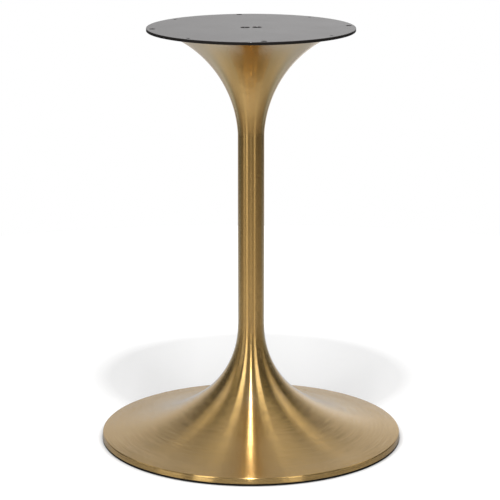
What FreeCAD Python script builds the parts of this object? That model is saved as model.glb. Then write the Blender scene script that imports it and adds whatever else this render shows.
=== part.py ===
import FreeCAD, Part
import enum
import math
import os
import Sketcher

# Tulip table base: a tube carried by a wide trumpet foot, with a smaller trumpet under the top plate.
# Millimetres, +Z up, origin on the floor at the middle of the foot.

DRIVING_SIZES = {
    "overall_height": 715,
    "plate_diameter": 350,
    "plate_thickness": 5,
    "plate_edge_round": 0.6,
    "hole_edge_distance": 10,
    "bolt_hole_diameter": 10,
    "screw_hole_diameter": 6,
    "rim_hole_count": 4,
    "fixing_spacing": 20,
    "fixing_thread": 8,
    "fixing_head_diameter": 15,
    "fixing_length": 22,
    "fixing_socket_flats": 5,
    "fixing_socket_depth": 2.6,
    "countersink_diameter": 16.6,
    "fixing_hole_diameter": 9,
    "tube_diameter": 45,
    "tube_wall": 2,
    "plug_length": 40,
    "plug_clearance": 0.1,
    "thread_clearance": 0.1,
    "tapped_depth_spare": 4,
    "sheet_thickness": 1.5,
    "neck_lip": 0.3,
    "upper_rim_diameter": 300,
    "upper_flare_radius": 199,
    "upper_neck_angle": 4.5,
    "lower_neck_height": 200,
    "throat_radius": 157,
    "skirt_width": 27,
    "skirt_slope": 6,
    "base_diameter": 518,
    "rim_height": 9.4,
    "rim_draft": 6,
    "rim_round": 2.2,
    "ring_thickness": 4,
    "ring_width": 30,
    "ring_inset": 0.5,
    "ring_chamfer": 0.8,
    "ballast_clearance": 3,
    "ballast_edge_height": 6,
    "ballast_shoulder_width": 50,
    "ballast_cone_height": 14,
    "boss_wall": 14,
    "web_thickness": 8,
    "socket_depth": 20,
    "socket_clearance": 0.2,
    "recess_diameter": 40,
    "recess_depth": 12,
    "base_bolt_thread": 12,
    "base_bolt_length": 35,
    "base_bolt_hole": 13,
    "bolt_head_flats": 18,
    "bolt_head_height": 7.5,
    "washer_diameter": 30,
    "washer_thickness": 2.5,
}

# Heights and radii that several pieces share
PLATE_UNDERSIDE = "(Sheet.overall_height - Sheet.plate_thickness)"
TUBE_RADIUS = "(Sheet.tube_diameter / 2)"
TUBE_BORE_RADIUS = "(Sheet.tube_diameter / 2 - Sheet.tube_wall)"
NECK_RADIUS = "(Sheet.tube_diameter / 2 + Sheet.neck_lip)"
BASE_RADIUS = "(Sheet.base_diameter / 2)"
RIM_TOP_RADIUS = "(Sheet.base_diameter / 2 - Sheet.rim_height * tan(Sheet.rim_draft * 1 deg))"
RIM_TOP_HEIGHT = "(Sheet.ring_thickness + Sheet.rim_height)"
RECESS_TOP = "(Sheet.ring_thickness + Sheet.recess_depth)"
TUBE_FOOT = "(Sheet.ring_thickness + Sheet.recess_depth + Sheet.web_thickness)"
FIXING_HEAD_TOP = "(Sheet.overall_height - (Sheet.countersink_diameter - Sheet.fixing_head_diameter) / 2)"
FIXING_TIP = f"({FIXING_HEAD_TOP} - Sheet.fixing_length)"


class At(enum.IntEnum):
    """Point of a sketch element that a constraint holds."""

    START = 1
    END = 2
    CENTRE = 3


class Axis(enum.IntEnum):
    """A sketch's own axes, which meet at its origin."""

    HORIZONTAL = -1
    VERTICAL = -2


ORIGIN = (Axis.HORIZONTAL, At.START)

doc = FreeCAD.newDocument("tulip_table_base")
sheet = doc.addObject("Spreadsheet::Sheet", "Sheet")
for row, (alias, value) in enumerate(DRIVING_SIZES.items(), start=1):
    sheet.set(f"A{row}", alias)
    sheet.set(f"B{row}", str(value))
    sheet.setAlias(f"B{row}", alias)
doc.recompute()


def number(expression):
    """Present value of an expression in the sheet's names."""
    result = sheet.evalExpression(expression)
    return float(getattr(result, "Value", result))


def new_body(name):
    body = doc.addObject("PartDesign::Body", name)
    body.Label = name
    return body


def new_sketch(body, name, plane_role, height=None):
    """Sketch on one of the body's own origin planes, lifted by an expression if one is given."""
    sketch = body.newObject("Sketcher::SketchObject", f"{body.Name}_{name}")
    plane = [item for item in body.Origin.OriginFeatures if item.Role == plane_role][0]
    sketch.AttachmentSupport = [(plane, "")]
    sketch.MapMode = "FlatFace"
    if height is not None:
        sketch.setExpression("AttachmentOffset.Base.z", height)
    return sketch


def dimension(sketch, kind, references, expression):
    """Add one dimension to a sketch and bind it to the sheet."""
    index = sketch.addConstraint(Sketcher.Constraint(kind, *references, number(expression)))
    sketch.setExpression(f"Constraints[{index}]", expression)


def place(sketch, element, point, across, up):
    """Fix one point of an element by its two coordinates; "0" lays it on the sketch's own axis."""
    if across == "0":
        sketch.addConstraint(Sketcher.Constraint("PointOnObject", element, point, Axis.VERTICAL))
    else:
        dimension(sketch, "DistanceX", (*ORIGIN, element, point), across)
    if up == "0":
        sketch.addConstraint(Sketcher.Constraint("PointOnObject", element, point, Axis.HORIZONTAL))
    else:
        dimension(sketch, "DistanceY", (*ORIGIN, element, point), up)


def join(sketch, first, first_point, second, second_point, kind="Coincident"):
    sketch.addConstraint(Sketcher.Constraint(kind, first, first_point, second, second_point))


def draw_polygon(sketch, corners):
    """Closed outline through corners given as pairs of expressions."""
    points = [FreeCAD.Vector(number(across), number(up), 0) for across, up in corners]
    count = len(points)
    for index in range(count):
        sketch.addGeometry(Part.LineSegment(points[index], points[(index + 1) % count]), False)
    for index in range(count):
        join(sketch, index, At.END, (index + 1) % count, At.START)
    for index, (across, up) in enumerate(corners):
        place(sketch, index, At.START, across, up)


def draw_circle(sketch, across, up, diameter):
    centre = FreeCAD.Vector(number(across), number(up), 0)
    circle = Part.Circle(centre, FreeCAD.Vector(0, 0, 1), number(diameter) / 2)
    element = sketch.addGeometry(circle, False)
    if across == "0" and up == "0":
        join(sketch, element, At.CENTRE, *ORIGIN)
    else:
        place(sketch, element, At.CENTRE, across, up)
    dimension(sketch, "Diameter", (element,), diameter)


def draw_hexagon(sketch, flats):
    """Hexagon about the origin with two corners on the Y axis."""
    half_corners = f"{flats} / 2 / cos(30 deg)"
    corners = []
    for angle in (30, 90, 150, 210, 270, 330):
        across = "0" if angle in (90, 270) else f"{half_corners} * cos({angle} deg)"
        corners.append((across, f"{half_corners} * sin({angle} deg)"))
    draw_polygon(sketch, corners)


def turn(body, kind, sketch, name):
    """Sweep a sketch once round the vertical axis, adding (Revolution) or cutting (Groove)."""
    feature = body.newObject(f"PartDesign::{kind}", f"{body.Name}_{name}")
    feature.Profile = sketch
    feature.ReferenceAxis = (sketch, ["V_Axis"])
    feature.Angle = 360
    return feature


def turned_body(name, corners):
    body = new_body(name)
    sketch = new_sketch(body, "profile", "XZ_Plane")
    draw_polygon(sketch, corners)
    turn(body, "Revolution", sketch, "turned")
    return body


def extrude(body, sketch, name, length):
    """Pad upwards from the sketch by the given expression."""
    pad = body.newObject("PartDesign::Pad", f"{body.Name}_{name}")
    pad.Profile = sketch
    pad.setExpression("Length", length)
    return pad


def cut_down(body, sketch, name, depth):
    """Pocket downwards from the sketch by the given expression."""
    pocket = body.newObject("PartDesign::Pocket", f"{body.Name}_{name}")
    pocket.Profile = sketch
    pocket.setExpression("Length", depth)
    return pocket


def repeat_round(body, feature, name, count):
    """Spread one cut evenly round the vertical axis."""
    pattern = body.newObject("PartDesign::PolarPattern", f"{body.Name}_{name}")
    pattern.Originals = [feature]
    pattern.Axis = (feature.Profile[0], ["N_Axis"])
    pattern.Angle = 360
    pattern.setExpression("Occurrences", count)
    body.Tip = pattern
    return pattern


def rim_edges(shape, radius, height=None):
    """Names of the full circles about the vertical axis with this radius, at this height if one is given."""
    names = []
    for index, edge in enumerate(shape.Edges, start=1):
        curve = edge.Curve
        if not isinstance(curve, Part.Circle) or abs(curve.Radius - radius) > 1e-4:
            continue
        if math.hypot(curve.Center.x, curve.Center.y) > 1e-4:
            continue
        if height is None or abs(curve.Center.z - height) < 1e-4:
            names.append(f"Edge{index}")
    return names


def round_edges(body, feature, names, name, radius):
    fillet = body.newObject("PartDesign::Fillet", f"{body.Name}_{name}")
    fillet.Base = (feature, names)
    fillet.setExpression("Radius", radius)
    return fillet


def hollow_out(body, feature, name, thickness):
    """Leave a wall of the given thickness inside the outline, open at every flat end face."""
    flat_faces = []
    for index, face in enumerate(feature.Shape.Faces, start=1):
        if isinstance(face.Surface, Part.Plane):
            flat_faces.append(f"Face{index}")
    shell = body.newObject("PartDesign::Thickness", f"{body.Name}_{name}")
    shell.Base = (feature, flat_faces)
    shell.Mode = "Skin"
    shell.Join = "Arc"
    shell.Reversed = True
    shell.setExpression("Value", thickness)
    return shell


def bore_for_tube(body, bottom, top):
    """Open a flare's neck to the tube's own diameter, so that it seats on the tube."""
    sketch = new_sketch(body, "bore", "XZ_Plane")
    corners = [("0", bottom), (TUBE_RADIUS, bottom), (TUBE_RADIUS, top), ("0", top)]
    draw_polygon(sketch, corners)
    return turn(body, "Groove", sketch, "bored")


# Top plate: a disc with two sets of holes for the tabletop and two countersunk holes for its own screws
def make_top_plate():
    body = new_body("top_plate")
    disc = new_sketch(body, "disc", "XY_Plane", PLATE_UNDERSIDE)
    draw_circle(disc, "0", "0", "Sheet.plate_diameter")
    plate = extrude(body, disc, "plate", "Sheet.plate_thickness")
    doc.recompute()
    edges = rim_edges(plate.Shape, number("Sheet.plate_diameter / 2"))
    round_edges(body, plate, edges, "eased", "Sheet.plate_edge_round")

    half_pitch = "180 deg / Sheet.rim_hole_count"
    circle_radius = "(Sheet.plate_diameter / 2 - Sheet.hole_edge_distance)"
    hole_sets = (
        ("bolt_holes", circle_radius, "0", "Sheet.bolt_hole_diameter"),
        (
            "screw_holes",
            f"{circle_radius} * cos({half_pitch})",
            f"{circle_radius} * sin({half_pitch})",
            "Sheet.screw_hole_diameter",
        ),
    )
    for name, across, up, diameter in hole_sets:
        sketch = new_sketch(body, f"{name}_first", "XY_Plane", "Sheet.overall_height")
        draw_circle(sketch, across, up, diameter)
        hole = cut_down(body, sketch, f"{name}_cut", "Sheet.plate_thickness * 2")
        repeat_round(body, hole, name, "Sheet.rim_hole_count")

    centres = new_sketch(body, "fixing_centres", "XY_Plane", "Sheet.overall_height")
    for side in ("-1", "1"):
        draw_circle(centres, f"{side} * Sheet.fixing_spacing / 2", "0", "Sheet.fixing_hole_diameter")
    doc.recompute()
    countersinks = body.newObject("PartDesign::Hole", "top_plate_countersinks")
    countersinks.Profile = centres
    countersinks.DepthType = "ThroughAll"
    countersinks.HoleCutType = "Countersink"
    countersinks.HoleCutCustomValues = True
    countersinks.HoleCutCountersinkAngle = 90
    countersinks.setExpression("Diameter", "Sheet.fixing_hole_diameter")
    countersinks.setExpression("HoleCutDiameter", "Sheet.countersink_diameter")
    return body


# Plate screws: a countersunk socket screw and its twin across the middle of the plate
def make_plate_screws():
    screw = new_body("plate_screw")
    profile = new_sketch(screw, "profile", "XZ_Plane")
    head_radius = "Sheet.fixing_head_diameter / 2"
    shank_radius = "Sheet.fixing_thread / 2"
    head_foot = f"{FIXING_HEAD_TOP} - ({head_radius} - {shank_radius})"
    corners = [
        ("0", FIXING_TIP),
        (shank_radius, FIXING_TIP),
        (shank_radius, head_foot),
        (head_radius, FIXING_HEAD_TOP),
        ("0", FIXING_HEAD_TOP),
    ]
    draw_polygon(profile, corners)
    turn(screw, "Revolution", profile, "turned")
    socket = new_sketch(screw, "socket", "XY_Plane", FIXING_HEAD_TOP)
    draw_hexagon(socket, "Sheet.fixing_socket_flats")
    cut_down(screw, socket, "socket_cut", "Sheet.fixing_socket_depth")
    screw.setExpression("Placement.Base.x", "Sheet.fixing_spacing / 2")

    twin = doc.addObject("Part::Mirroring", "plate_screw_twin")
    twin.Source = screw
    twin.Base = FreeCAD.Vector(0, 0, 0)
    twin.Normal = FreeCAD.Vector(1, 0, 0)
    pair = doc.addObject("Part::Compound", "plate_screws")
    pair.Links = [screw, twin]
    pair.Label = "plate_screws"
    return pair


# Column tube: runs from the socket in the ballast disc up to the top plate, inside both flares
def make_column_tube():
    body = new_body("column_tube")
    ring = new_sketch(body, "ring", "XY_Plane", TUBE_FOOT)
    draw_circle(ring, "0", "0", "Sheet.tube_diameter")
    draw_circle(ring, "0", "0", f"{TUBE_BORE_RADIUS} * 2")
    extrude(body, ring, "tube", f"{PLATE_UNDERSIDE} - {TUBE_FOOT}")
    return body


# Plugs: round bars that close the tube's two ends and carry the tapped holes
def make_plug(name, foot):
    body = new_body(name)
    disc = new_sketch(body, "disc", "XY_Plane", foot)
    draw_circle(disc, "0", "0", f"({TUBE_BORE_RADIUS} - Sheet.plug_clearance) * 2")
    extrude(body, disc, "bar", "Sheet.plug_length")
    return body


def make_top_plug():
    body = make_plug("top_plug", f"{PLATE_UNDERSIDE} - Sheet.plug_length")
    holes = new_sketch(body, "tapped_holes", "XY_Plane", PLATE_UNDERSIDE)
    for side in ("-1", "1"):
        across = f"{side} * Sheet.fixing_spacing / 2"
        draw_circle(holes, across, "0", "Sheet.fixing_thread + 2 * Sheet.thread_clearance")
    depth = f"{PLATE_UNDERSIDE} - {FIXING_TIP} + Sheet.tapped_depth_spare"
    cut_down(body, holes, "tapped", depth)
    return body


def make_bottom_plug():
    body = make_plug("bottom_plug", TUBE_FOOT)
    hole = new_sketch(body, "tapped_hole", "XY_Plane", f"{TUBE_FOOT} + Sheet.plug_length")
    draw_circle(hole, "0", "0", "Sheet.base_bolt_thread + 2 * Sheet.thread_clearance")
    cut_down(body, hole, "tapped", "Sheet.plug_length * 2")
    return body


# Upper flare: one round sweep from the tube out to a rim under the plate
def make_upper_flare():
    body = new_body("upper_flare")
    sketch = new_sketch(body, "profile", "XZ_Plane")
    sweep = number("Sheet.upper_flare_radius")
    neck_radius = number(NECK_RADIUS)
    rim_radius = number("Sheet.upper_rim_diameter / 2")
    rim_height = number(PLATE_UNDERSIDE)
    neck_turn = math.radians(number("Sheet.upper_neck_angle"))
    centre_radius = neck_radius + sweep * math.cos(neck_turn)
    rim_turn = math.acos((centre_radius - rim_radius) / sweep)
    centre_height = rim_height - sweep * math.sin(rim_turn)
    neck_height = centre_height + sweep * math.sin(neck_turn)

    centre = FreeCAD.Vector(centre_radius, centre_height, 0)
    axis_top = FreeCAD.Vector(0, rim_height, 0)
    axis_foot = FreeCAD.Vector(0, neck_height, 0)
    rim = FreeCAD.Vector(rim_radius, rim_height, 0)
    neck = FreeCAD.Vector(neck_radius, neck_height, 0)
    circle = Part.Circle(centre, FreeCAD.Vector(0, 0, 1), sweep)
    top_line = sketch.addGeometry(Part.LineSegment(axis_top, rim), False)
    arc = sketch.addGeometry(Part.ArcOfCircle(circle, math.pi - rim_turn, math.pi - neck_turn), False)
    neck_line = sketch.addGeometry(Part.LineSegment(neck, axis_foot), False)
    axis_line = sketch.addGeometry(Part.LineSegment(axis_foot, axis_top), False)
    join(sketch, top_line, At.END, arc, At.START)
    join(sketch, arc, At.END, neck_line, At.START)
    join(sketch, neck_line, At.END, axis_line, At.START)
    join(sketch, axis_line, At.END, top_line, At.START)
    place(sketch, top_line, At.START, "0", PLATE_UNDERSIDE)
    place(sketch, top_line, At.END, "Sheet.upper_rim_diameter / 2", PLATE_UNDERSIDE)
    dimension(sketch, "Radius", (arc,), "Sheet.upper_flare_radius")
    dimension(sketch, "DistanceX", (*ORIGIN, arc, At.END), NECK_RADIUS)
    rise = "Sheet.upper_flare_radius * sin(Sheet.upper_neck_angle * 1 deg)"
    dimension(sketch, "DistanceY", (arc, At.CENTRE, arc, At.END), rise)
    sketch.addConstraint(Sketcher.Constraint("Horizontal", neck_line))
    sketch.addConstraint(Sketcher.Constraint("Vertical", axis_line))

    solid = turn(body, "Revolution", sketch, "turned")
    doc.recompute()
    hollow_out(body, solid, "wall", "Sheet.sheet_thickness")
    bore_for_tube(body, f"{PLATE_UNDERSIDE} / 2", PLATE_UNDERSIDE)
    return body


# Lower flare: throat and sweep arcs, a shallow straight skirt and a turned-down rim
def make_lower_flare():
    body = new_body("lower_flare")
    sketch = new_sketch(body, "profile", "XZ_Plane")
    foot_height = number("Sheet.ring_thickness")
    foot_radius = number(BASE_RADIUS)
    rim_radius = number(RIM_TOP_RADIUS)
    rim_height = number(RIM_TOP_HEIGHT)
    slope = math.radians(number("Sheet.skirt_slope"))
    skirt_width = number("Sheet.skirt_width")
    throat = number("Sheet.throat_radius")
    neck_radius = number(NECK_RADIUS)
    neck_height = number("Sheet.lower_neck_height")

    # The sweep arc touches the throat arc from inside and the skirt at its upper end
    skirt_end = FreeCAD.Vector(rim_radius - skirt_width, rim_height + skirt_width * math.tan(slope), 0)
    throat_centre = FreeCAD.Vector(neck_radius + throat, neck_height, 0)
    upward = FreeCAD.Vector(math.sin(slope), math.cos(slope), 0)
    apart = skirt_end - throat_centre
    sweep = (throat ** 2 - apart.Length ** 2) / (2 * (apart.dot(upward) + throat))
    sweep_centre = skirt_end + upward * sweep
    meeting = (throat_centre - sweep_centre) * math.copysign(1, sweep - throat)
    meeting_angle = math.atan2(meeting.y, meeting.x) % (2 * math.pi)
    skirt_angle = 3 * math.pi / 2 - slope

    across = FreeCAD.Vector(0, 0, 1)
    axis_foot = FreeCAD.Vector(0, foot_height, 0)
    axis_top = FreeCAD.Vector(0, neck_height, 0)
    foot = FreeCAD.Vector(foot_radius, foot_height, 0)
    rim = FreeCAD.Vector(rim_radius, rim_height, 0)
    neck = FreeCAD.Vector(neck_radius, neck_height, 0)
    sweep_circle = Part.Circle(sweep_centre, across, sweep)
    throat_circle = Part.Circle(throat_centre, across, throat)
    foot_line = sketch.addGeometry(Part.LineSegment(axis_foot, foot), False)
    band = sketch.addGeometry(Part.LineSegment(foot, rim), False)
    skirt = sketch.addGeometry(Part.LineSegment(rim, skirt_end), False)
    sweep_arc = sketch.addGeometry(Part.ArcOfCircle(sweep_circle, meeting_angle, skirt_angle), False)
    throat_arc = sketch.addGeometry(Part.ArcOfCircle(throat_circle, math.pi, meeting_angle), False)
    neck_line = sketch.addGeometry(Part.LineSegment(neck, axis_top), False)
    axis_line = sketch.addGeometry(Part.LineSegment(axis_top, axis_foot), False)
    join(sketch, foot_line, At.END, band, At.START)
    join(sketch, band, At.END, skirt, At.START)
    join(sketch, skirt, At.END, sweep_arc, At.END, "Tangent")
    join(sketch, sweep_arc, At.START, throat_arc, At.END, "Tangent")
    join(sketch, throat_arc, At.START, neck_line, At.START)
    join(sketch, neck_line, At.END, axis_line, At.START)
    join(sketch, axis_line, At.END, foot_line, At.START)
    join(sketch, throat_arc, At.START, throat_arc, At.CENTRE, "Horizontal")
    place(sketch, foot_line, At.START, "0", "Sheet.ring_thickness")
    place(sketch, foot_line, At.END, BASE_RADIUS, "Sheet.ring_thickness")
    place(sketch, band, At.END, RIM_TOP_RADIUS, RIM_TOP_HEIGHT)
    rise = "Sheet.skirt_width * tan(Sheet.skirt_slope * 1 deg)"
    place(sketch, skirt, At.END, f"{RIM_TOP_RADIUS} - Sheet.skirt_width", f"{RIM_TOP_HEIGHT} + {rise}")
    place(sketch, neck_line, At.START, NECK_RADIUS, "Sheet.lower_neck_height")
    place(sketch, neck_line, At.END, "0", "Sheet.lower_neck_height")
    dimension(sketch, "Radius", (throat_arc,), "Sheet.throat_radius")

    solid = turn(body, "Revolution", sketch, "turned")
    doc.recompute()
    edges = rim_edges(solid.Shape, rim_radius, rim_height)
    rounded = round_edges(body, solid, edges, "rim", "Sheet.rim_round")
    doc.recompute()
    hollow_out(body, rounded, "wall", "Sheet.sheet_thickness")
    bore_for_tube(body, "Sheet.ring_thickness", "Sheet.lower_neck_height")
    return body


# Ballast disc: a heavy disc inside the foot, with a socket for the tube and a recess for the base bolt
def make_ballast_disc():
    edge_radius = f"{BASE_RADIUS} - Sheet.sheet_thickness - Sheet.ballast_clearance"
    edge_top = "Sheet.ring_thickness + Sheet.ballast_edge_height"
    socket_radius = f"{TUBE_RADIUS} + Sheet.socket_clearance"
    boss_radius = f"{socket_radius} + Sheet.boss_wall"
    boss_top = f"{TUBE_FOOT} + Sheet.socket_depth"
    corners = [
        ("Sheet.recess_diameter / 2", "Sheet.ring_thickness"),
        (edge_radius, "Sheet.ring_thickness"),
        (edge_radius, edge_top),
        (f"{edge_radius} - Sheet.ballast_shoulder_width", edge_top),
        (boss_radius, f"{edge_top} + Sheet.ballast_cone_height"),
        (boss_radius, boss_top),
        (socket_radius, boss_top),
        (socket_radius, TUBE_FOOT),
        ("Sheet.base_bolt_hole / 2", TUBE_FOOT),
        ("Sheet.base_bolt_hole / 2", RECESS_TOP),
        ("Sheet.recess_diameter / 2", RECESS_TOP),
    ]
    return turned_body("ballast_disc", corners)


# Base bolt and washer: clamp the ballast disc to the plug in the tube's lower end
def make_base_washer():
    body = new_body("base_washer")
    ring = new_sketch(body, "ring", "XY_Plane", f"{RECESS_TOP} - Sheet.washer_thickness")
    draw_circle(ring, "0", "0", "Sheet.washer_diameter")
    draw_circle(ring, "0", "0", "Sheet.base_bolt_hole")
    extrude(body, ring, "disc", "Sheet.washer_thickness")
    return body


def make_base_bolt():
    body = new_body("base_bolt")
    head_top = f"{RECESS_TOP} - Sheet.washer_thickness"
    head = new_sketch(body, "head", "XY_Plane", f"{head_top} - Sheet.bolt_head_height")
    draw_hexagon(head, "Sheet.bolt_head_flats")
    extrude(body, head, "hexagon", "Sheet.bolt_head_height")
    shank = new_sketch(body, "shank", "XY_Plane", head_top)
    draw_circle(shank, "0", "0", "Sheet.base_bolt_thread")
    extrude(body, shank, "shank_bar", "Sheet.base_bolt_length")
    return body


# Floor ring: flat ring under the rim and the ballast disc, chamfered where it meets the floor
def make_floor_ring():
    outer = f"{BASE_RADIUS} - Sheet.ring_inset"
    inner = f"{outer} - Sheet.ring_width"
    corners = [
        (f"{inner} + Sheet.ring_chamfer", "0"),
        (f"{outer} - Sheet.ring_chamfer", "0"),
        (outer, "Sheet.ring_chamfer"),
        (outer, "Sheet.ring_thickness"),
        (inner, "Sheet.ring_thickness"),
        (inner, "Sheet.ring_chamfer"),
    ]
    return turned_body("floor_ring", corners)


pieces = [
    make_top_plate(),
    make_plate_screws(),
    make_top_plug(),
    make_column_tube(),
    make_upper_flare(),
    make_lower_flare(),
    make_bottom_plug(),
    make_ballast_disc(),
    make_base_washer(),
    make_base_bolt(),
    make_floor_ring(),
]
doc.recompute()

for item in doc.Objects:
    if "Invalid" in item.State or "Error" in item.State:
        raise RuntimeError(f"{item.Label} did not build: {item.State}")
for piece in pieces:
    if piece.Shape.isNull() or not piece.Shape.isValid():
        raise RuntimeError(f"{piece.Label} has no valid shape")

os.makedirs("parts", exist_ok=True)
for piece in pieces:
    piece.Shape.exportStep(f"parts/{piece.Label}.step")
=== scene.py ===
import math

import bpy
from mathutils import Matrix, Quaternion, Vector


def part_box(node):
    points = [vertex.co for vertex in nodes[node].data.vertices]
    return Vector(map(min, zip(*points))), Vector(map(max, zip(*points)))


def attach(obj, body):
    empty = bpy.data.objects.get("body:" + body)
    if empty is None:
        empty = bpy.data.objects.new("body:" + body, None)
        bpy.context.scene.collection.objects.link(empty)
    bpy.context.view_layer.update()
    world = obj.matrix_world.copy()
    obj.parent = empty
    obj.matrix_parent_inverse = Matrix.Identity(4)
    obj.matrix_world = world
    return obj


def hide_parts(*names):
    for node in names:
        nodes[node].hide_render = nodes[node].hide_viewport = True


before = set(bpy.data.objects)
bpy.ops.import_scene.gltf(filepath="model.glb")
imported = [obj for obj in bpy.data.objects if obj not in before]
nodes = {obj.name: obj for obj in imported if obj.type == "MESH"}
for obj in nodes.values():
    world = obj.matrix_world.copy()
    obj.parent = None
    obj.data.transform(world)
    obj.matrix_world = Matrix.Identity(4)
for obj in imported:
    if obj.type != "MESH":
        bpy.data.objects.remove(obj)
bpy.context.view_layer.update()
scene = bpy.context.scene

# Sizes of the turned brass pieces, in metres, from the frame where a node's box gives them
foot_low, foot_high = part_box("lower_flare")
flare_low, flare_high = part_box("upper_flare")
tube_low, tube_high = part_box("column_tube")
SHEET_THICKNESS = 0.0015
TUBE_WALL = 0.002
TUBE_RADIUS = tube_high.x
TUBE_BORE = TUBE_RADIUS - TUBE_WALL
TUBE_FOOT = tube_low.z
NECK_LIP = 0.0003
NECK_RADIUS = TUBE_RADIUS + NECK_LIP
PLATE_UNDERSIDE = flare_high.z
UPPER_NECK_HEIGHT = flare_low.z
UPPER_RIM_RADIUS = flare_high.x
UPPER_SWEEP_RADIUS = 0.199
UPPER_NECK_TURN = math.radians(4.5)
LOWER_NECK_HEIGHT = foot_high.z
THROAT_RADIUS = 0.157
FOOT_RADIUS = foot_high.x
RING_TOP = foot_low.z
RIM_HEIGHT = 0.0094
RIM_DRAFT = math.radians(6)
RIM_ROUND_RADIUS = 0.0022
SKIRT_WIDTH = 0.027
SKIRT_SLOPE = math.radians(6)

# Divisions of the turned meshes
TURN_STEPS = 288
THROAT_STEPS = 48
SWEEP_STEPS = 40
RIM_STEPS = 8
UPPER_OUTSIDE_STEPS = 72
UPPER_INSIDE_STEPS = 60
TUBE_STEPS = 60
HIDDEN_TUBE_STEPS = 4
WELD_STEPS = 12
SAME_POINT = 1e-7
SHARP_ANGLE = math.radians(30)
UV_NAME = "turned"


# Meshes turned on the vertical axis
def arc(centre, radius, start, end, steps):
    """Points on a circle in the (radius, height) plane, both ends included."""
    points = []
    for step in range(steps + 1):
        angle = start + (end - start) * step / steps
        points.append((centre[0] + radius * math.cos(angle), centre[1] + radius * math.sin(angle)))
    return points


def straight(start, end, steps):
    """Points on a line in the (radius, height) plane, both ends included."""
    points = []
    for step in range(steps + 1):
        share = step / steps
        points.append((start[0] + (end[0] - start[0]) * share, start[1] + (end[1] - start[1]) * share))
    return points


def joined(*runs):
    """One outline from several runs, without the points that they share."""
    outline = []
    for run in runs:
        for point in run:
            if not outline or math.dist(point, outline[-1]) > SAME_POINT:
                outline.append(point)
    if math.dist(outline[0], outline[-1]) < SAME_POINT:
        outline.pop()
    return outline


def turned(name, outline):
    """Closed outline of (radius, height) points swept round the Z axis, with u round and v along it."""
    count = len(outline)
    vertices = []
    for step in range(TURN_STEPS):
        angle = 2 * math.pi * step / TURN_STEPS
        for radius, height in outline:
            vertices.append((radius * math.cos(angle), radius * math.sin(angle), height))
    along = [0.0]
    for index in range(count):
        along.append(along[-1] + math.dist(outline[index], outline[(index + 1) % count]))
    faces = []
    uvs = []
    for step in range(TURN_STEPS):
        here = step * count
        there = (step + 1) % TURN_STEPS * count
        u0 = step / TURN_STEPS
        u1 = (step + 1) / TURN_STEPS
        for index in range(count):
            after = (index + 1) % count
            faces.append((here + index, there + index, there + after, here + after))
            v0 = along[index]
            v1 = along[index + 1]
            uvs.extend(((u0, v0), (u1, v0), (u1, v1), (u0, v1)))
    mesh = bpy.data.meshes.new(name)
    mesh.from_pydata(vertices, [], faces)
    layer = mesh.uv_layers.new(name=UV_NAME)
    for loop, uv in zip(layer.data, uvs):
        loop.uv = uv
    mesh.validate()
    mesh.shade_smooth()
    mesh.set_sharp_from_angle(angle=SHARP_ANGLE)
    piece = bpy.data.objects.new(name, mesh)
    scene.collection.objects.link(piece)
    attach(piece, "root")
    return piece


def lower_flare_outline():
    """Spun sheet: a throat arc, a sweep arc tangent to it and to the straight skirt, and a rounded rim."""
    rim_top = RING_TOP + RIM_HEIGHT
    rim_corner = FOOT_RADIUS - RIM_HEIGHT * math.tan(RIM_DRAFT)
    skirt_end = (rim_corner - SKIRT_WIDTH, rim_top + SKIRT_WIDTH * math.tan(SKIRT_SLOPE))
    throat_centre = (NECK_RADIUS + THROAT_RADIUS, LOWER_NECK_HEIGHT)

    # The sweep's radius and centre follow from its touching the skirt's end and the throat's circle
    up = (math.sin(SKIRT_SLOPE), math.cos(SKIRT_SLOPE))
    apart = (skirt_end[0] - throat_centre[0], skirt_end[1] - throat_centre[1])
    reach = apart[0] * up[0] + apart[1] * up[1] + THROAT_RADIUS
    sweep = (THROAT_RADIUS ** 2 - apart[0] ** 2 - apart[1] ** 2) / (2 * reach)
    sweep_centre = (skirt_end[0] + up[0] * sweep, skirt_end[1] + up[1] * sweep)
    between = (throat_centre[0] - sweep_centre[0], throat_centre[1] - sweep_centre[1])
    meet = math.atan2(between[1], between[0]) % (2 * math.pi)
    skirt_angle = 1.5 * math.pi - SKIRT_SLOPE

    # The rounded rim, between the skirt and the slightly drafted band below it
    turn = math.pi / 2 - SKIRT_SLOPE - RIM_DRAFT
    setback = RIM_ROUND_RADIUS * math.tan(turn / 2)
    on_skirt = (rim_corner - setback * math.cos(SKIRT_SLOPE), rim_top + setback * math.sin(SKIRT_SLOPE))
    rim_centre = (on_skirt[0] - RIM_ROUND_RADIUS * up[0], on_skirt[1] - RIM_ROUND_RADIUS * up[1])
    rim_start = math.pi / 2 - SKIRT_SLOPE

    def wall(inset):
        """Surface at this depth in the sheet, from the neck to the rim's lower edge."""
        return joined(
            arc(throat_centre, THROAT_RADIUS + inset, math.pi, meet, THROAT_STEPS),
            arc(sweep_centre, sweep + inset, meet, skirt_angle, SWEEP_STEPS),
            arc(rim_centre, RIM_ROUND_RADIUS - inset, rim_start, RIM_DRAFT, RIM_STEPS),
            [(FOOT_RADIUS - inset / math.cos(RIM_DRAFT), RING_TOP)],
        )

    # Inside, the sheet ends on the tube, where the neck stands against it
    drop = math.sqrt((THROAT_RADIUS + SHEET_THICKNESS) ** 2 - (throat_centre[0] - TUBE_RADIUS) ** 2)
    on_tube = [(TUBE_RADIUS, LOWER_NECK_HEIGHT), (TUBE_RADIUS, LOWER_NECK_HEIGHT - drop)]
    inside = on_tube + [point for point in wall(SHEET_THICKNESS) if point[0] > TUBE_RADIUS]
    return joined(wall(0.0), inside[::-1])


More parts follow.
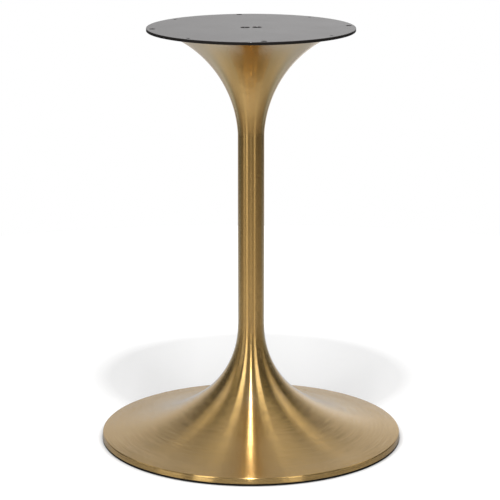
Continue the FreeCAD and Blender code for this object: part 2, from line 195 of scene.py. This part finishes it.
def upper_flare_outline():
    """Spun sheet: one arc from the neck out to the plate."""
    centre_radius = NECK_RADIUS + UPPER_SWEEP_RADIUS * math.cos(UPPER_NECK_TURN)
    rim_turn = math.acos((centre_radius - UPPER_RIM_RADIUS) / UPPER_SWEEP_RADIUS)
    centre = (centre_radius, PLATE_UNDERSIDE - UPPER_SWEEP_RADIUS * math.sin(rim_turn))
    inner_sweep = UPPER_SWEEP_RADIUS + SHEET_THICKNESS
    inner_rim_turn = math.asin((PLATE_UNDERSIDE - centre[1]) / inner_sweep)
    inner_neck_turn = math.acos((centre_radius - TUBE_RADIUS) / inner_sweep)
    neck_angle = math.pi - UPPER_NECK_TURN
    outside = arc(centre, UPPER_SWEEP_RADIUS, neck_angle, math.pi - rim_turn, UPPER_OUTSIDE_STEPS)
    inner_ends = (math.pi - inner_rim_turn, math.pi - inner_neck_turn)
    inside = arc(centre, inner_sweep, *inner_ends, UPPER_INSIDE_STEPS)
    neck_inside = [(TUBE_RADIUS, outside[0][1])]
    return joined(outside, inside, neck_inside)[::-1]


def tube_outline():
    """Tube with the ground weld that carries the upper flare's neck smoothly down onto it."""
    weld_sweep = NECK_LIP / (1 - math.cos(UPPER_NECK_TURN))
    weld_drop = weld_sweep * math.sin(UPPER_NECK_TURN)
    weld_centre = (TUBE_RADIUS + weld_sweep, UPPER_NECK_HEIGHT - weld_drop)
    weld = arc(weld_centre, weld_sweep, math.pi - UPPER_NECK_TURN, math.pi, WELD_STEPS)
    return joined(
        straight((TUBE_RADIUS, PLATE_UNDERSIDE), (TUBE_RADIUS, UPPER_NECK_HEIGHT), HIDDEN_TUBE_STEPS),
        weld,
        straight(weld[-1], (TUBE_RADIUS, TUBE_FOOT), TUBE_STEPS),
        straight((TUBE_BORE, TUBE_FOOT), (TUBE_BORE, PLATE_UNDERSIDE), HIDDEN_TUBE_STEPS),
    )


# Shader nodes
def math_node(tree, operation, first, second=None):
    """Result of an operation on sockets or plain numbers."""
    node = tree.nodes.new("ShaderNodeMath")
    node.operation = operation
    for socket, value in zip(node.inputs, (first, second)):
        if isinstance(value, (int, float)):
            socket.default_value = value
        elif value is not None:
            tree.links.new(value, socket)
    return node.outputs[0]


def product(tree, first, *others):
    for other in others:
        first = math_node(tree, "MULTIPLY", first, other)
    return first


def total(tree, first, *others):
    for other in others:
        first = math_node(tree, "ADD", first, other)
    return first


def long_side(tree, across, along):
    """Length of the long side of a right triangle."""
    squares = total(tree, product(tree, across, across), product(tree, along, along))
    return math_node(tree, "SQRT", squares)


def map_range(tree, value, low, high, to_low, to_high):
    """Straight change from one number at low to another at high, and level beyond them."""
    node = tree.nodes.new("ShaderNodeMapRange")
    numbers = {"From Min": low, "From Max": high, "To Min": to_low, "To Max": to_high}
    for name, number in numbers.items():
        node.inputs[name].default_value = number
    tree.links.new(value, node.inputs["Value"])
    return node.outputs["Result"]


def vector_math(tree, operation, first, second=None):
    """Result of a vector operation; SCALE takes a number as its second value."""
    node = tree.nodes.new("ShaderNodeVectorMath")
    node.operation = operation
    tree.links.new(first, node.inputs[0])
    if operation == "SCALE":
        tree.links.new(second, node.inputs["Scale"])
    elif second is not None:
        tree.links.new(second, node.inputs[1])
    return node.outputs["Vector"]


def separated(tree, vector):
    """X, Y and Z of a vector."""
    node = tree.nodes.new("ShaderNodeSeparateXYZ")
    tree.links.new(vector, node.inputs[0])
    return node.outputs["X"], node.outputs["Y"], node.outputs["Z"]


def noise(tree, vector, scale, detail=2.0, roughness=0.5):
    node = tree.nodes.new("ShaderNodeTexNoise")
    node.inputs["Scale"].default_value = scale
    node.inputs["Detail"].default_value = detail
    node.inputs["Roughness"].default_value = roughness
    tree.links.new(vector, node.inputs["Vector"])
    return node.outputs["Fac"]


def ramp(tree, factor, stops):
    node = tree.nodes.new("ShaderNodeValToRGB")
    elements = node.color_ramp.elements
    while len(elements) < len(stops):
        elements.new(0.5)
    for element, (position, colour) in zip(elements, stops):
        element.position = position
        element.color = (*colour, 1.0)
    tree.links.new(factor, node.inputs["Fac"])
    return node.outputs["Color"]


def bump(tree, height, distance, strength=0.5):
    node = tree.nodes.new("ShaderNodeBump")
    node.inputs["Strength"].default_value = strength
    node.inputs["Distance"].default_value = distance
    tree.links.new(height, node.inputs["Height"])
    return node.outputs["Normal"]


def object_coordinates(tree):
    return tree.nodes.new("ShaderNodeTexCoord").outputs["Object"]


def surface_normal(tree):
    return tree.nodes.new("ShaderNodeNewGeometry").outputs["Normal"]


# Materials. Most of a noise's values lie within NOISE_MIDDLE
NOISE_MIDDLE = (0.3, 0.7)


def new_material(name):
    material = bpy.data.materials.new(name)
    material.use_nodes = True
    return material, material.node_tree, material.node_tree.nodes["Principled BSDF"]


def two_tone(tree, factor, dark, light):
    """Colour that follows a noise from dark to light."""
    return ramp(tree, factor, list(zip(NOISE_MIDDLE, (dark, light))))


def brushing(tree, round_scale, along_scale, detail):
    """Noise drawn out round the axis, without a seam, and fine along the outline."""
    uv = tree.nodes.new("ShaderNodeUVMap")
    uv.uv_map = UV_NAME
    turn, along, _ = separated(tree, uv.outputs["UV"])
    angle = product(tree, turn, 2 * math.pi)
    place = tree.nodes.new("ShaderNodeCombineXYZ")
    for axis, value, scale in (
        ("X", math_node(tree, "COSINE", angle), round_scale),
        ("Y", math_node(tree, "SINE", angle), round_scale),
        ("Z", along, along_scale),
    ):
        tree.links.new(product(tree, value, scale), place.inputs[axis])
    return noise(tree, place.outputs["Vector"], scale=1.0, detail=detail)


def tilted_normal(tree, tangent, tilt):
    """Normal leaned across the brushing by the tilt and left as it is along the brushing."""
    normal = surface_normal(tree)
    lean = vector_math(tree, "SCALE", vector_math(tree, "CROSS_PRODUCT", normal, tangent), tilt)
    return vector_math(tree, "NORMALIZE", vector_math(tree, "ADD", normal, lean))


# Brass: between the two heights in FOOT_TO_TUBE the foot's coarse brushing gives way to a smoother one.
# A tilt or roughness holds the two noise values that it runs between, then its own value at each
BRASS_COLOURS = [(0.36, (0.606, 0.391, 0.137)), (0.5, (0.625, 0.405, 0.144)), (0.64, (0.644, 0.419, 0.151))]
FOOT_TO_TUBE = (0.19, 0.30)
FOOT_ROUGHNESS = (*NOISE_MIDDLE, 0.187, 0.195)
TUBE_EXTRA_ROUGHNESS = 0.055
TUBE_TILT_SHARE = 0.2
FINE_TILT = (0.2, 0.8, -0.62, 0.62)
MEDIUM_TILT = (0.2, 0.8, -0.05, 0.05)


def brushed_brass():
    material, tree, shader = new_material("brushed_brass")
    fine = brushing(tree, round_scale=3.0, along_scale=12000.0, detail=1.0)
    medium = brushing(tree, round_scale=3.0, along_scale=620.0, detail=1.0)
    broad = brushing(tree, round_scale=1.6, along_scale=26.0, detail=2.0)
    height = separated(tree, object_coordinates(tree))[2]
    tree.links.new(ramp(tree, medium, BRASS_COLOURS), shader.inputs["Base Color"])
    shader.inputs["Metallic"].default_value = 1.0
    shader.inputs["Anisotropic"].default_value = 1.0
    shader.inputs["Anisotropic Rotation"].default_value = 0.25
    shader.inputs["Coat Weight"].default_value = 0.4
    shader.inputs["Coat Roughness"].default_value = 0.2
    extra = map_range(tree, height, *FOOT_TO_TUBE, 0.0, TUBE_EXTRA_ROUGHNESS)
    rough = total(tree, map_range(tree, broad, *FOOT_ROUGHNESS), extra)
    tree.links.new(rough, shader.inputs["Roughness"])
    tangent = tree.nodes.new("ShaderNodeTangent")
    tangent.direction_type = "UV_MAP"
    tangent.uv_map = UV_NAME
    tree.links.new(tangent.outputs["Tangent"], shader.inputs["Tangent"])
    coarseness = map_range(tree, height, *FOOT_TO_TUBE, 1.0, TUBE_TILT_SHARE)
    fine_tilt = product(tree, map_range(tree, fine, *FINE_TILT), coarseness)
    tilt = total(tree, fine_tilt, map_range(tree, medium, *MEDIUM_TILT))
    tree.links.new(tilted_normal(tree, tangent.outputs["Tangent"], tilt), shader.inputs["Normal"])
    return material


# Powder coat: satin on the plate's level faces, duller on its edge and in its holes, where painted shade
# also darkens its colour
POWDER_AND_EDGE_SHADE_COLOURS = [(0.0, (0.004, 0.002, 0.001)), (0.2, (0.014, 0.008, 0.008)), (0.65, (0.019, 0.011, 0.011))]
POWDER_ROUGHNESS = (*NOISE_MIDDLE, 0.215, 0.235)
EDGE_EXTRA_ROUGHNESS = 0.5
LEVEL_ENOUGH = 0.5


def powder_coat():
    material, tree, shader = new_material("black_powder_coat")
    place = object_coordinates(tree)
    peel = noise(tree, place, scale=900.0)
    cloud = noise(tree, place, scale=14.0, detail=3.0)
    level = math_node(tree, "ABSOLUTE", separated(tree, surface_normal(tree))[2])
    on_face = math_node(tree, "GREATER_THAN", level, LEVEL_ENOUGH)
    on_edge = math_node(tree, "SUBTRACT", 1.0, on_face)
    # Painted shade: off the level faces, on the edge and the hole walls, the colour drops to the darkest
    # stop
    colour = ramp(tree, product(tree, cloud, on_face), POWDER_AND_EDGE_SHADE_COLOURS)
    tree.links.new(colour, shader.inputs["Base Color"])
    shader.inputs["Specular IOR Level"].default_value = 0.42
    dull = product(tree, on_edge, EDGE_EXTRA_ROUGHNESS)
    rough = total(tree, map_range(tree, cloud, *POWDER_ROUGHNESS), dull)
    tree.links.new(rough, shader.inputs["Roughness"])
    tree.links.new(bump(tree, peel, distance=0.00006), shader.inputs["Normal"])
    return material


# Other materials
DULL_ROUGHNESS = (*NOISE_MIDDLE, 0.7, 0.85)
IRON_COLOURS = [(0.3, (0.026, 0.026, 0.028)), (0.55, (0.042, 0.041, 0.041)), (0.75, (0.062, 0.056, 0.050))]
IRON_ROUGHNESS = (*NOISE_MIDDLE, 0.55, 0.8)
FINER = 8


def dull_black(name, dark, light, specular, scale, relief):
    """Matt black with one grain in its colour, roughness and relief."""
    material, tree, shader = new_material(name)
    grain = noise(tree, object_coordinates(tree), scale, detail=3.0)
    tree.links.new(two_tone(tree, grain, dark, light), shader.inputs["Base Color"])
    shader.inputs["Specular IOR Level"].default_value = specular
    tree.links.new(map_range(tree, grain, *DULL_ROUGHNESS), shader.inputs["Roughness"])
    tree.links.new(bump(tree, grain, distance=relief), shader.inputs["Normal"])
    return material


def plain_metal(name, dark, light, smoothest, roughest, scale):
    """Metal with a cloudy colour and roughness and a finer relief."""
    material, tree, shader = new_material(name)
    place = object_coordinates(tree)
    cloud = noise(tree, place, scale, detail=4.0)
    tree.links.new(two_tone(tree, cloud, dark, light), shader.inputs["Base Color"])
    shader.inputs["Metallic"].default_value = 1.0
    rough = map_range(tree, cloud, *NOISE_MIDDLE, smoothest, roughest)
    tree.links.new(rough, shader.inputs["Roughness"])
    relief = bump(tree, noise(tree, place, scale * FINER), distance=0.00002)
    tree.links.new(relief, shader.inputs["Normal"])
    return material


def cast_iron():
    material, tree, shader = new_material("ballast_iron")
    place = object_coordinates(tree)
    sand = noise(tree, place, scale=420.0, detail=4.0, roughness=0.65)
    cloud = noise(tree, place, scale=18.0, detail=4.0)
    tree.links.new(ramp(tree, cloud, IRON_COLOURS), shader.inputs["Base Color"])
    tree.links.new(map_range(tree, sand, *IRON_ROUGHNESS), shader.inputs["Roughness"])
    tree.links.new(bump(tree, sand, distance=0.0006, strength=0.6), shader.inputs["Normal"])
    return material


# Pieces
brass = brushed_brass()
for node_name, outline in (
    ("lower_flare", lower_flare_outline()),
    ("upper_flare", upper_flare_outline()),
    ("column_tube", tube_outline()),
):
    piece = turned(f"{node_name}_brushed", outline)
    piece.data.materials.append(brass)
    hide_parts(node_name)

plain_steel = plain_metal(
    "plain_steel",
    dark=(0.33, 0.32, 0.31),
    light=(0.48, 0.47, 0.46),
    smoothest=0.3,
    roughest=0.45,
    scale=120.0,
)
zinc_steel = plain_metal(
    "zinc_steel",
    dark=(0.46, 0.47, 0.50),
    light=(0.62, 0.62, 0.62),
    smoothest=0.28,
    roughest=0.42,
    scale=160.0,
)
screw_steel = dull_black(
    "black_screw_steel",
    dark=(0.004, 0.004, 0.004),
    light=(0.010, 0.009, 0.008),
    specular=0.06,
    scale=1600.0,
    relief=0.00004,
)
rubber = dull_black(
    "black_rubber",
    dark=(0.004, 0.003, 0.002),
    light=(0.010, 0.008, 0.006),
    specular=0.25,
    scale=700.0,
    relief=0.0001,
)
finishes = {
    "top_plate": powder_coat(),
    "plate_screws": screw_steel,
    "top_plug": plain_steel,
    "bottom_plug": plain_steel,
    "ballast_disc": cast_iron(),
    "base_washer": zinc_steel,
    "base_bolt": zinc_steel,
    "floor_ring": rubber,
}
for node_name, material in finishes.items():
    mesh = nodes[node_name].data
    mesh.materials.clear()
    mesh.materials.append(material)

# Camera, at the photograph's viewing angle
IMAGE_SIDE = 500
FOCAL_PIXELS = 2083.84
CAMERA_AZIMUTH = math.radians(-7.2)
CAMERA_PITCH = math.radians(13.86)
CAMERA_DISTANCE = 3.4609
CAMERA_HEIGHT = 1.1866
CAMERA_SIDESTEP = -0.0018

# Azimuths counted from the camera's own side of the object, positive to the right
BEHIND = math.pi
RIGHT = math.pi / 2


def around(azimuth, distance, height):
    """Point at an azimuth, a distance from the axis and a height."""
    angle = CAMERA_AZIMUTH + azimuth
    return Vector((math.sin(angle) * distance, -math.cos(angle) * distance, height))


def add_camera():
    camera_data = bpy.data.cameras.new("camera")
    camera_data.sensor_width = 36.0
    camera_data.lens = FOCAL_PIXELS / IMAGE_SIDE * camera_data.sensor_width
    camera_data.clip_start = 0.05
    camera_data.clip_end = 60.0
    camera = bpy.data.objects.new("camera", camera_data)
    camera.location = around(0.0, CAMERA_DISTANCE, CAMERA_HEIGHT) + around(RIGHT, CAMERA_SIDESTEP, 0.0)
    camera.rotation_euler = (math.pi / 2 - CAMERA_PITCH, 0.0, CAMERA_AZIMUTH)
    scene.collection.objects.link(camera)
    scene.camera = camera


add_camera()

# Floor, in metres: reach is the distance from the axis, depth the distance behind it and to_right
# the distance to its right. Each range names the places where it starts and ends, and the level at both
FLOOR_REACH = 1.6
FLOOR_STEPS = 96
FLOOR_WHITE = (0.80, 0.80, 0.80, 1.0)

# What the metal sees: a darker, tinted copy of the floor, with painted light in a pool in front of the foot
# and in a lighter stretch behind it.
# POOL_AHEAD goes by the cosine of the angle from the camera's azimuth instead of by a distance
POOL_RISE = (0.28, 0.50, 0.25, 0.85)
POOL_FALL = (0.57, 0.96, 0.85, 0.0)
POOL_AHEAD = (0.1, 0.8, 0.44, 0.95)
POOL_ACROSS = (-0.15, 0.25, 1.03, 0.82)
REAR_RISE = (0.35, 0.60, 0.0, 0.41)
REAR_FALL = (1.05, 1.35, 1.0, 0.65)
REAR_ACROSS = (0.0, 0.3, 1.0, 0.8)
COOL = (0.84, 1.0, 1.25)
REAR_TINTS = [(0.35, (1.0, 1.0, 1.0)), (0.60, COOL), (0.72, COOL), (0.95, (0.81, 0.78, 0.73))]
FRONT_ONLY = (-0.1, 0.4, 1.0, 0.0)
GREY = (0.48, 0.48, 0.48)
SHADED_FLOOR_TINTS = [(0.0, (0.55, 0.64, 0.77)), (0.25, GREY), (0.72, GREY), (1.0, (0.62, 0.50, 0.405))]

# What the camera sees: white all round, where the floor's own light covers the lamps' shadow, and painted
# shade in an oval behind the foot and at its rim, where that light is lowered and the lamps' shadow shows
SHADOW_DEPTH = 0.35
SHADOW_RIGHT = 0.008
SHADOW_EDGE = (0.275, 0.350)
WHITE_GLOW = 0.34
NEAR_GLOW = (0.2, 0.60, 0.27, 0.30)
FAR_GLOW = (0.60, 1.10, 0.08, 0.60)
LEFT_PAINTED_SHADE = (-0.24, -0.10, 0.17, 0.0)
RIGHT_PAINTED_SHADE = (0.10, 0.26, 0.0, 0.12)
PAINTED_CONTACT_SHADOW = 0.012


def toward(tree, x, y, azimuth):
    """How far a place or a direction lies toward an azimuth."""
    way = around(azimuth, 1.0, 0.0)
    return total(tree, product(tree, x, way.x), product(tree, y, way.y))


def mirrored_rays(tree, rays):
    """One for light that a surface mirrors or lets through, and none for other light."""
    return total(tree, rays["Is Glossy Ray"], rays["Is Transmission Ray"])


def lit_surface(tree, glow):
    """Diffuse surface with some light of its own, and the colour sockets of both."""
    diffuse = tree.nodes.new("ShaderNodeBsdfDiffuse")
    emission = tree.nodes.new("ShaderNodeEmission")
    tree.links.new(glow, emission.inputs["Strength"])
    both = tree.nodes.new("ShaderNodeAddShader")
    tree.links.new(diffuse.outputs[0], both.inputs[0])
    tree.links.new(emission.outputs[0], both.inputs[1])
    return both.outputs[0], diffuse.inputs["Color"], emission.inputs["Color"]


def reflected_floor(tree, rays, reach, depth, to_right):
    ahead = math_node(tree, "DIVIDE", depth, product(tree, reach, -1.0))
    painted_pool = product(
        tree,
        math_node(tree, "MINIMUM", map_range(tree, reach, *POOL_RISE), map_range(tree, reach, *POOL_FALL)),
        map_range(tree, ahead, *POOL_AHEAD),
        map_range(tree, to_right, *POOL_ACROSS),
    )
    painted_rear_light = product(
        tree,
        map_range(tree, depth, *REAR_RISE),
        map_range(tree, to_right, *REAR_ACROSS),
        map_range(tree, depth, *REAR_FALL),
    )
    # Painted light: the floor glows for mirrored rays only, in the pool and in the stretch behind
    glow = product(tree, mirrored_rays(tree, rays), math_node(tree, "MAXIMUM", painted_pool, painted_rear_light))
    surface, paint, light = lit_surface(tree, glow)
    front_reach = product(tree, reach, map_range(tree, depth, *FRONT_ONLY))
    # Painted shade: the floor that the metal sees is a darker, tinted copy of the white floor
    tree.links.new(ramp(tree, front_reach, SHADED_FLOOR_TINTS), paint)
    tree.links.new(ramp(tree, depth, REAR_TINTS), light)
    return surface


def pictured_floor(tree, reach, depth, to_right):
    shadow_depth = math_node(tree, "SUBTRACT", depth, SHADOW_DEPTH)
    shadow_right = math_node(tree, "SUBTRACT", to_right, SHADOW_RIGHT)
    from_shadow = long_side(tree, shadow_right, shadow_depth)
    clear = map_range(tree, from_shadow, *SHADOW_EDGE, 0.0, WHITE_GLOW)
    far = product(
        tree,
        map_range(tree, reach, *FAR_GLOW),
        map_range(tree, from_shadow, *SHADOW_EDGE, 0.0, 1.0),
    )
    # Painted shade: less of the floor's own light toward the left and right ends of the oval
    painted_side_shade = total(tree, map_range(tree, to_right, *LEFT_PAINTED_SHADE), map_range(tree, to_right, *RIGHT_PAINTED_SHADE))
    outward = math_node(tree, "SUBTRACT", math_node(tree, "MAXIMUM", far, clear), painted_side_shade)
    glow = total(tree, map_range(tree, depth, *NEAR_GLOW), outward)
    # Painted contact shadow: the floor's own light fades out close to the foot's rim
    off_foot = map_range(tree, reach, FOOT_RADIUS, FOOT_RADIUS + PAINTED_CONTACT_SHADOW, 0.0, 1.0)
    surface, paint, _ = lit_surface(tree, product(tree, glow, off_foot))
    paint.default_value = FLOOR_WHITE
    return surface


def add_floor():
    mesh = bpy.data.meshes.new("floor")
    rim = []
    for step in range(FLOOR_STEPS):
        angle = 2 * math.pi * step / FLOOR_STEPS
        rim.append((FLOOR_REACH * math.cos(angle), FLOOR_REACH * math.sin(angle), 0.0))
    mesh.from_pydata(rim, [], [tuple(range(FLOOR_STEPS))])
    material, tree, shader = new_material("floor")
    tree.nodes.remove(shader)
    x, y, _ = separated(tree, object_coordinates(tree))
    reach = long_side(tree, x, y)
    depth = toward(tree, x, y, BEHIND)
    to_right = toward(tree, x, y, RIGHT)
    rays = tree.nodes.new("ShaderNodeLightPath").outputs
    either = tree.nodes.new("ShaderNodeMixShader")
    tree.links.new(rays["Is Camera Ray"], either.inputs[0])
    tree.links.new(reflected_floor(tree, rays, reach, depth, to_right), either.inputs[1])
    tree.links.new(pictured_floor(tree, reach, depth, to_right), either.inputs[2])
    tree.links.new(either.outputs[0], tree.nodes["Material Output"].inputs["Surface"])
    material.cycles.emission_sampling = "NONE"
    mesh.materials.append(material)
    floor = bpy.data.objects.new("floor", mesh)
    scene.collection.objects.link(floor)


add_floor()

# Lights: soft boxes to both sides of the camera and of the object, a wide fill in front,
# and three narrow strips in line from in front to overhead
LIGHT_DISTANCE = 2.6
AIM_HEIGHT = 0.25


def add_box(name, azimuth, elevation, width, height, radiance, lean=0.0):
    """Rectangular soft box that faces the object; angles in degrees as seen from the object."""
    lamp_data = bpy.data.lights.new(name, "AREA")
    lamp_data.shape = "RECTANGLE"
    lamp_data.size = 2 * LIGHT_DISTANCE * math.tan(math.radians(width / 2))
    lamp_data.size_y = 2 * LIGHT_DISTANCE * math.tan(math.radians(height / 2))
    lamp_data.energy = radiance * math.pi * lamp_data.size * lamp_data.size_y
    lamp = bpy.data.objects.new(name, lamp_data)
    rise = math.radians(elevation)
    flat = LIGHT_DISTANCE * math.cos(rise)
    offset = around(math.radians(azimuth), flat, LIGHT_DISTANCE * math.sin(rise))
    lamp.location = offset + Vector((0.0, 0.0, AIM_HEIGHT))
    facing = (-offset).to_track_quat("-Z", "Y")
    lamp.rotation_euler = (facing @ Quaternion((0.0, 0.0, 1.0), math.radians(lean))).to_euler()
    lamp.visible_camera = False
    scene.collection.objects.link(lamp)


add_box("box_left", azimuth=-37, elevation=34, width=14, height=40, radiance=3.1, lean=6)
add_box("box_right", azimuth=33, elevation=37, width=15, height=26, radiance=3.5, lean=-4)
add_box("side_left", azimuth=-105, elevation=39, width=28, height=18, radiance=1.14)
add_box("side_right", azimuth=108, elevation=39, width=26, height=18, radiance=1.42)
add_box("wing_left", azimuth=-60, elevation=9, width=20, height=18, radiance=1.2)
add_box("low_left", azimuth=-36, elevation=5, width=12, height=16, radiance=1.0)
add_box("low_right", azimuth=32, elevation=10, width=9, height=24, radiance=1.0)
add_box("front_fill", azimuth=0, elevation=27, width=44, height=46, radiance=0.11)
add_box("low_strip", azimuth=-0.5, elevation=34, width=3.0, height=26, radiance=4.5)
add_box("front_strip", azimuth=-0.5, elevation=55, width=3.0, height=20, radiance=12.5)
add_box("overhead_strip", azimuth=-2.2, elevation=79, width=2.5, height=36, radiance=49.0)

# The strips hardly light what the metal mirrors, so that no second image of them shows in it
for strip in ("low_strip", "front_strip", "overhead_strip"):
    bpy.data.lights[strip].cycles.max_bounces = 0
bpy.data.lights["overhead_strip"].cycles.use_multiple_importance_sampling = False

# Studio that the metal mirrors: a lighter wall behind the object with a glow low on it, and a lighter
# ceiling. Each range names where it starts and ends, and the level at both: across the wall by the
# cosine of the angle from its own azimuth, upward by the sine of the elevation
WALL = (0.72, 0.92, 0.0, 0.60)
WALL_SHADE_RISE = (0.24, 0.50, 0.0, 1.0)
WALL_SHADE_ACROSS = (-0.15, 0.15, 0.36, 0.18)
GLOW_AZIMUTH = math.radians(171)
GLOW = (0.960, 0.990, 0.0, 0.23)
GLOW_FALL = (0.16, 0.34, 1.0, 0.0)
CEILING = (0.78, 0.92, 0.0, 0.48)
ROOM_LIGHT = 0.08
DIFFUSE_LIGHT = 0.35
JUST_OVER_ONE = 1.0001


def add_studio():
    world = bpy.data.worlds.new("studio")
    scene.world = world
    world.use_nodes = True
    world.cycles.sampling_method = "NONE"
    tree = world.node_tree
    background = tree.nodes["Background"]
    background.inputs["Color"].default_value = (1.0, 1.0, 1.0, 1.0)
    x, y, rise = separated(tree, tree.nodes.new("ShaderNodeTexCoord").outputs["Generated"])
    level_squared = math_node(tree, "SUBTRACT", JUST_OVER_ONE, product(tree, rise, rise))
    level = math_node(tree, "SQRT", level_squared)

    def facing(azimuth):
        """Cosine of the angle, as seen from above, between a direction and an azimuth."""
        return math_node(tree, "DIVIDE", toward(tree, x, y, azimuth), level)

    shade = product(
        tree,
        map_range(tree, rise, *WALL_SHADE_RISE),
        map_range(tree, facing(RIGHT), *WALL_SHADE_ACROSS),
    )
    wall = product(tree, map_range(tree, facing(BEHIND), *WALL), math_node(tree, "SUBTRACT", 1.0, shade))
    glow = product(
        tree,
        map_range(tree, facing(GLOW_AZIMUTH), *GLOW),
        map_range(tree, rise, *GLOW_FALL),
    )
    studio = total(tree, wall, glow, map_range(tree, rise, *CEILING), ROOM_LIGHT)
    rays = tree.nodes.new("ShaderNodeLightPath").outputs
    strength = total(
        tree,
        rays["Is Camera Ray"],
        product(tree, mirrored_rays(tree, rays), studio),
        product(tree, rays["Is Diffuse Ray"], DIFFUSE_LIGHT),
    )
    tree.links.new(strength, background.inputs["Strength"])


add_studio()

scene.view_settings.view_transform = "Standard"
